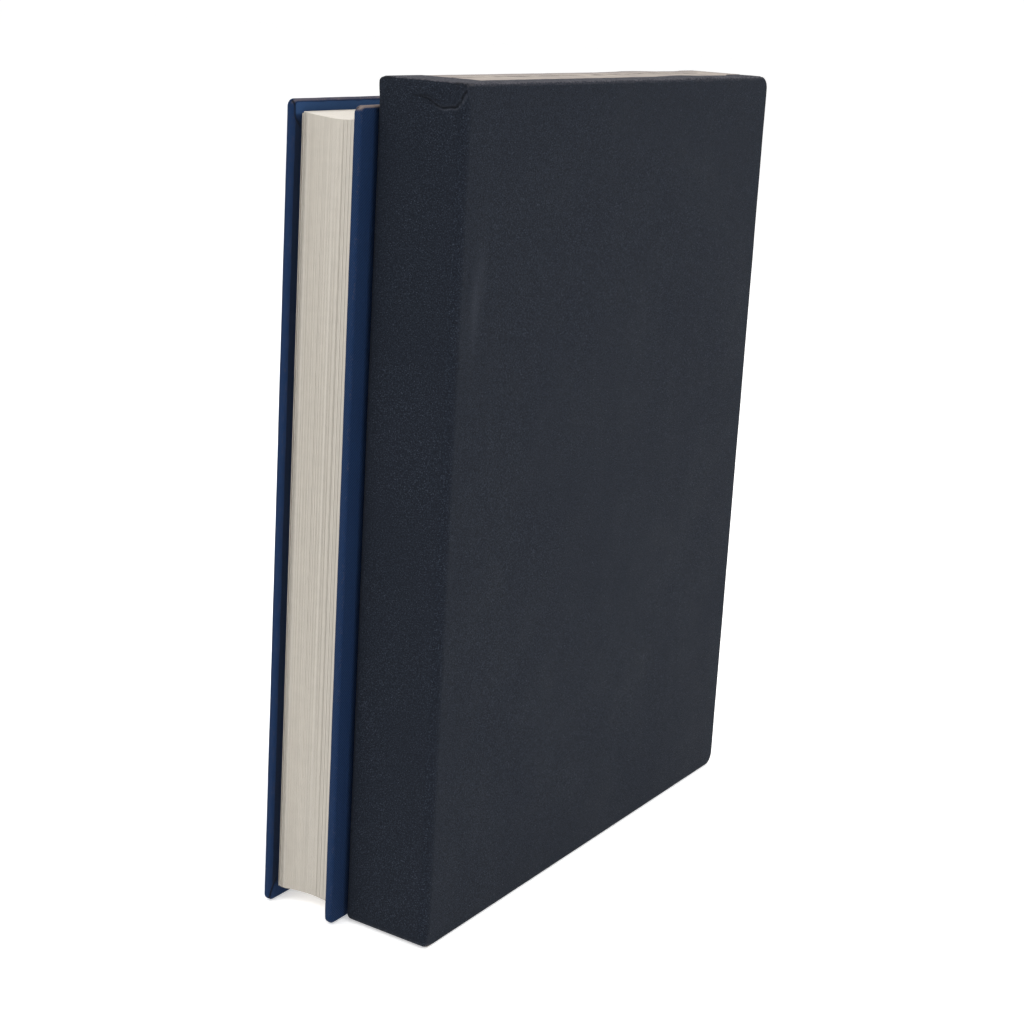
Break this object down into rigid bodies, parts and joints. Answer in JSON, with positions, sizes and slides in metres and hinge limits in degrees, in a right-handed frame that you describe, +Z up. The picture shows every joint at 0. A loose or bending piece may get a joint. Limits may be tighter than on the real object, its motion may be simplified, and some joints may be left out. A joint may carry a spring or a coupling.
{
  "type": "pilot logbook",
  "caption": "Large cloth-bound pilot's logbook with opening covers and turning leaves, standing beside the open-ended cloth-covered slipcase that stores it.",
  "frame": {"origin": "middle of the slipcase's foot, on the surface that the book and its case stand on", "axes": "+Z up, +Y from the slipcase's closed back to its mouth (the book's fore-edge is at -Y and its spine at +Y), +X away from the book, out of the slipcase's free side"},
  "size_m": [0.0713, 0.235, 0.315],
  "materials": {
    "book_cloth": "navy blue book cloth, fine weave, matt",
    "case_cloth": "blue-black book cloth, fine weave with pale flecks, matt",
    "leaf_paper": "cream uncoated writing paper",
    "endleaf_paper": "cream uncoated endpaper, a little heavier",
    "end_paper": "warm grey covering paper",
    "case_lining": "dark grey lining paper",
    "binders_board": "grey binder's board",
    "spine_card": "thin manila card",
    "kraft_paper": "brown kraft paper",
    "mull_gauze": "open starched gauze",
    "headband_cord": "corded band in navy and white",
    "linen_thread": "waxed linen thread"
  },
  "bodies": {
    "slipcase": {"case_back_board": "binders_board", "case_back_lining": "case_lining", "case_cloth": "case_cloth", "case_foot_fold": "case_cloth", "case_head_board": "binders_board", "case_head_lining": "case_lining", "case_head_paper": "end_paper", "case_left_board": "binders_board", "case_left_lining": "case_lining", "case_right_board": "binders_board", "case_right_lining": "case_lining", "case_tail_board": "binders_board", "case_tail_lining": "case_lining", "case_tail_paper": "end_paper"},
    "back_cover": {"back_board": "binders_board", "back_cover_cloth": "book_cloth", "back_joint_cloth": "book_cloth", "back_pastedown": "endleaf_paper"},
    "text_block": {"signature_01": "leaf_paper", "signature_02": "leaf_paper", "signature_03": "leaf_paper", "signature_04": "leaf_paper", "signature_05": "leaf_paper", "signature_06": "leaf_paper", "signature_07": "leaf_paper", "signature_08": "leaf_paper", "signature_09": "leaf_paper", "signature_10": "leaf_paper", "signature_11": "leaf_paper", "signature_12": "leaf_paper", "signature_13": "leaf_paper", "front_sewn_margin": "leaf_paper", "back_sewn_margin": "leaf_paper", "kettle_stitches": "linen_thread", "headband": "headband_cord", "tailband": "headband_cord", "mull": "mull_gauze", "spine_lining": "kraft_paper", "spine_stiffener": "spine_card", "spine_cloth": "book_cloth"},
    "front_cover": {"front_board": "binders_board", "front_cover_cloth": "book_cloth", "front_joint_cloth": "book_cloth", "front_pastedown": "endleaf_paper"},
    "front_flyleaf": {"front_flyleaf": "endleaf_paper"},
    "entry_leaves_1": {"entry_leaves_1": "leaf_paper"},
    "entry_leaves_2": {"entry_leaves_2": "leaf_paper"},
    "entry_leaves_3": {"entry_leaves_3": "leaf_paper"},
    "back_flyleaf": {"back_flyleaf": "endleaf_paper"}
  },
  "joints": [
    {"name": "logbook_slide", "type": "slide", "parent": "slipcase", "child": "back_cover", "axis": [0, 1, 0], "range_m": [0, 0.235]},
    {"name": "back_joint", "type": "hinge", "parent": "back_cover", "child": "text_block", "pos_m": [-0.02314, 0.09427, 0.1525], "axis": [0, 0, -1], "range_deg": [0, 85]},
    {"name": "front_joint", "type": "hinge", "parent": "text_block", "child": "front_cover", "pos_m": [-0.04974, 0.09427, 0.1525], "axis": [0, 0, -1], "range_deg": [0, 178]},
    {"name": "front_flyleaf_turn", "type": "hinge", "parent": "text_block", "child": "front_flyleaf", "pos_m": [-0.04856, 0.0887, 0.1525], "axis": [0, 0, -1], "range_deg": [0, 160.2]},
    {"name": "entry_leaves_3_turn", "type": "hinge", "parent": "text_block", "child": "entry_leaves_3", "pos_m": [-0.04826, 0.0879, 0.1525], "axis": [0, 0, -1], "range_deg": [0, 117.48]},
    {"name": "entry_leaves_2_turn", "type": "hinge", "parent": "text_block", "child": "entry_leaves_2", "pos_m": [-0.04786, 0.0871, 0.1525], "axis": [0, 0, -1], "range_deg": [0, 74.76]},
    {"name": "entry_leaves_1_turn", "type": "hinge", "parent": "text_block", "child": "entry_leaves_1", "pos_m": [-0.04746, 0.0863, 0.1525], "axis": [0, 0, -1], "range_deg": [0, 35.6]},
    {"name": "back_flyleaf_turn", "type": "hinge", "parent": "text_block", "child": "back_flyleaf", "pos_m": [-0.02362, 0.0887, 0.1525], "axis": [0, 0, 1], "range_deg": [0, 42.5]}
  ],
  "couplings": [
    {"joint": "front_flyleaf_turn", "follows": "front_joint", "ratio": 0.9},
    {"joint": "entry_leaves_3_turn", "follows": "front_joint", "ratio": 0.66},
    {"joint": "entry_leaves_2_turn", "follows": "front_joint", "ratio": 0.42},
    {"joint": "entry_leaves_1_turn", "follows": "front_joint", "ratio": 0.2},
    {"joint": "back_flyleaf_turn", "follows": "back_joint", "ratio": 0.5}
  ]
}
